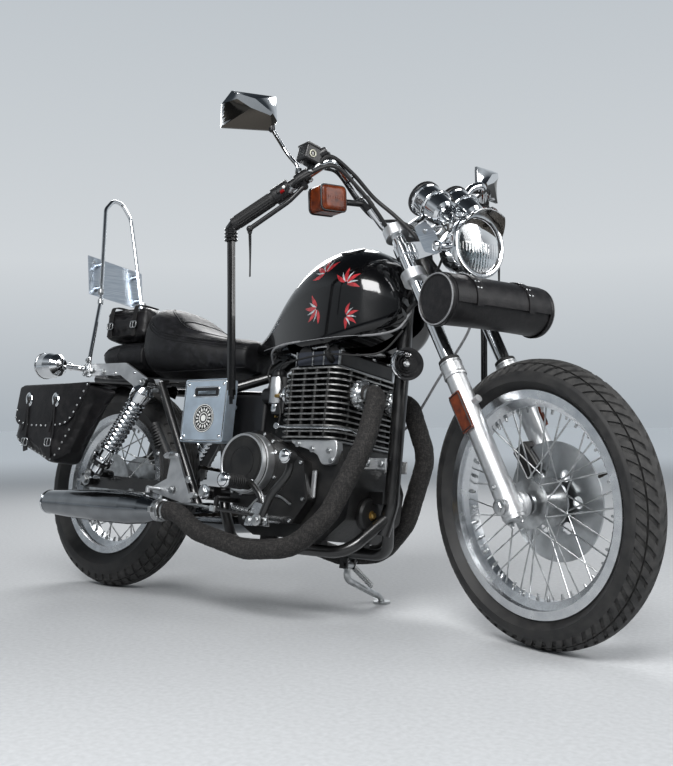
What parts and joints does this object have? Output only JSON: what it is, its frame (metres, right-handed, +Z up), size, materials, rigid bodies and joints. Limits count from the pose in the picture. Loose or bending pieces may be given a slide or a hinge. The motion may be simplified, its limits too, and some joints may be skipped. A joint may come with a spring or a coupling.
{
  "type": "cruiser motorcycle",
  "caption": "Cruiser motorcycle on its side stand: spoked wheels, parallel engine, teardrop tank, stepped leather seat, saddlebags, hoop backrest and high bars with leather tassels.",
  "frame": {"origin": "on the floor under the middle of the leaning motorcycle, with its handlebar turned to the right", "axes": "+X forward, +Y to the left, +Z up"},
  "size_m": [2.0933, 0.9222, 1.3478],
  "materials": {
    "black_frame_paint": "gloss",
    "black_tank_paint": "gloss",
    "black_leather": "satin",
    "chrome": "polished",
    "cast_aluminium": "satin",
    "bright_aluminium": "polished",
    "black_engine_enamel": "satin",
    "steel": "brushed",
    "dark_steel": "oiled",
    "header_wrap": "matt",
    "tyre_rubber": "matt",
    "grip_rubber": "matt",
    "black_plastic": "matt",
    "amber_plastic": "gloss",
    "red_plastic": "gloss",
    "lamp_glass": "clear"
  },
  "bodies": {
    "frame": {"main_frame": "black_frame_paint", "seat_subframe": "black_frame_paint", "stand_bracket": "black_frame_paint", "crankcase": "black_engine_enamel", "cylinders": "cast_aluminium", "valve_cover": "black_engine_enamel", "engine_covers": "black_engine_enamel", "intake": "black_plastic", "exhaust_headers": "header_wrap", "mufflers": "chrome", "horn": "black_plastic", "fuel_tank": "black_tank_paint", "seat": "black_leather", "pillion_pack": "black_leather", "rear_fender": "black_tank_paint", "fender_struts": "cast_aluminium", "sissy_bar": "chrome", "number_plate": "bright_aluminium", "tail_lamp": "red_plastic", "rear_signals": "chrome", "saddlebag_right": "black_leather", "saddlebag_left": "black_leather", "side_covers": "bright_aluminium", "rider_pegs": "black_frame_paint", "passenger_pegs": "cast_aluminium", "foot_controls": "dark_steel", "swingarm": "black_frame_paint", "shocks": "chrome", "drive_chain": "dark_steel"},
    "steering": {"fork_yokes": "cast_aluminium", "fork_tubes": "chrome", "fork_sliders": "cast_aluminium", "front_axle": "steel", "handlebar": "chrome", "grips": "grip_rubber", "hand_controls": "black_plastic", "mirrors": "chrome", "tassels": "black_leather", "gauges": "chrome", "headlight_shell": "chrome", "headlight_lens": "lamp_glass", "front_signals": "amber_plastic", "roll_bag": "black_leather", "brake_caliper": "black_engine_enamel", "reflectors": "amber_plastic"},
    "front_wheel": {"front_tyre": "tyre_rubber", "front_rim": "bright_aluminium", "front_hub_spokes": "steel", "brake_disc": "steel"},
    "rear_wheel": {"rear_tyre": "tyre_rubber", "rear_rim": "bright_aluminium", "rear_hub_spokes": "steel", "rear_sprocket": "steel"},
    "stand": {"side_stand": "steel"}
  },
  "joints": [
    {"name": "steering", "type": "hinge", "parent": "frame", "child": "steering", "pos_m": [0.40275, -0.06371, 0.85144], "axis": [-0.4786, 0.1374, 0.8672], "range_deg": [-15, 55]},
    {"name": "front_wheel_spin", "type": "hinge", "parent": "steering", "child": "front_wheel", "pos_m": [0.7334, -0.15975, 0.32597], "axis": [0.3003, 0.9537, 0.0147], "continuous": true},
    {"name": "rear_wheel_spin", "type": "hinge", "parent": "frame", "child": "rear_wheel", "pos_m": [-0.71463, -0.1487, 0.31487], "axis": [0, 0.9877, -0.1564], "continuous": true},
    {"name": "side_stand_fold", "type": "hinge", "parent": "frame", "child": "stand", "pos_m": [0.12166, -0.06998, 0.1215], "axis": [0, 0.9877, -0.1564], "range_deg": [0, 82]}
  ]
}
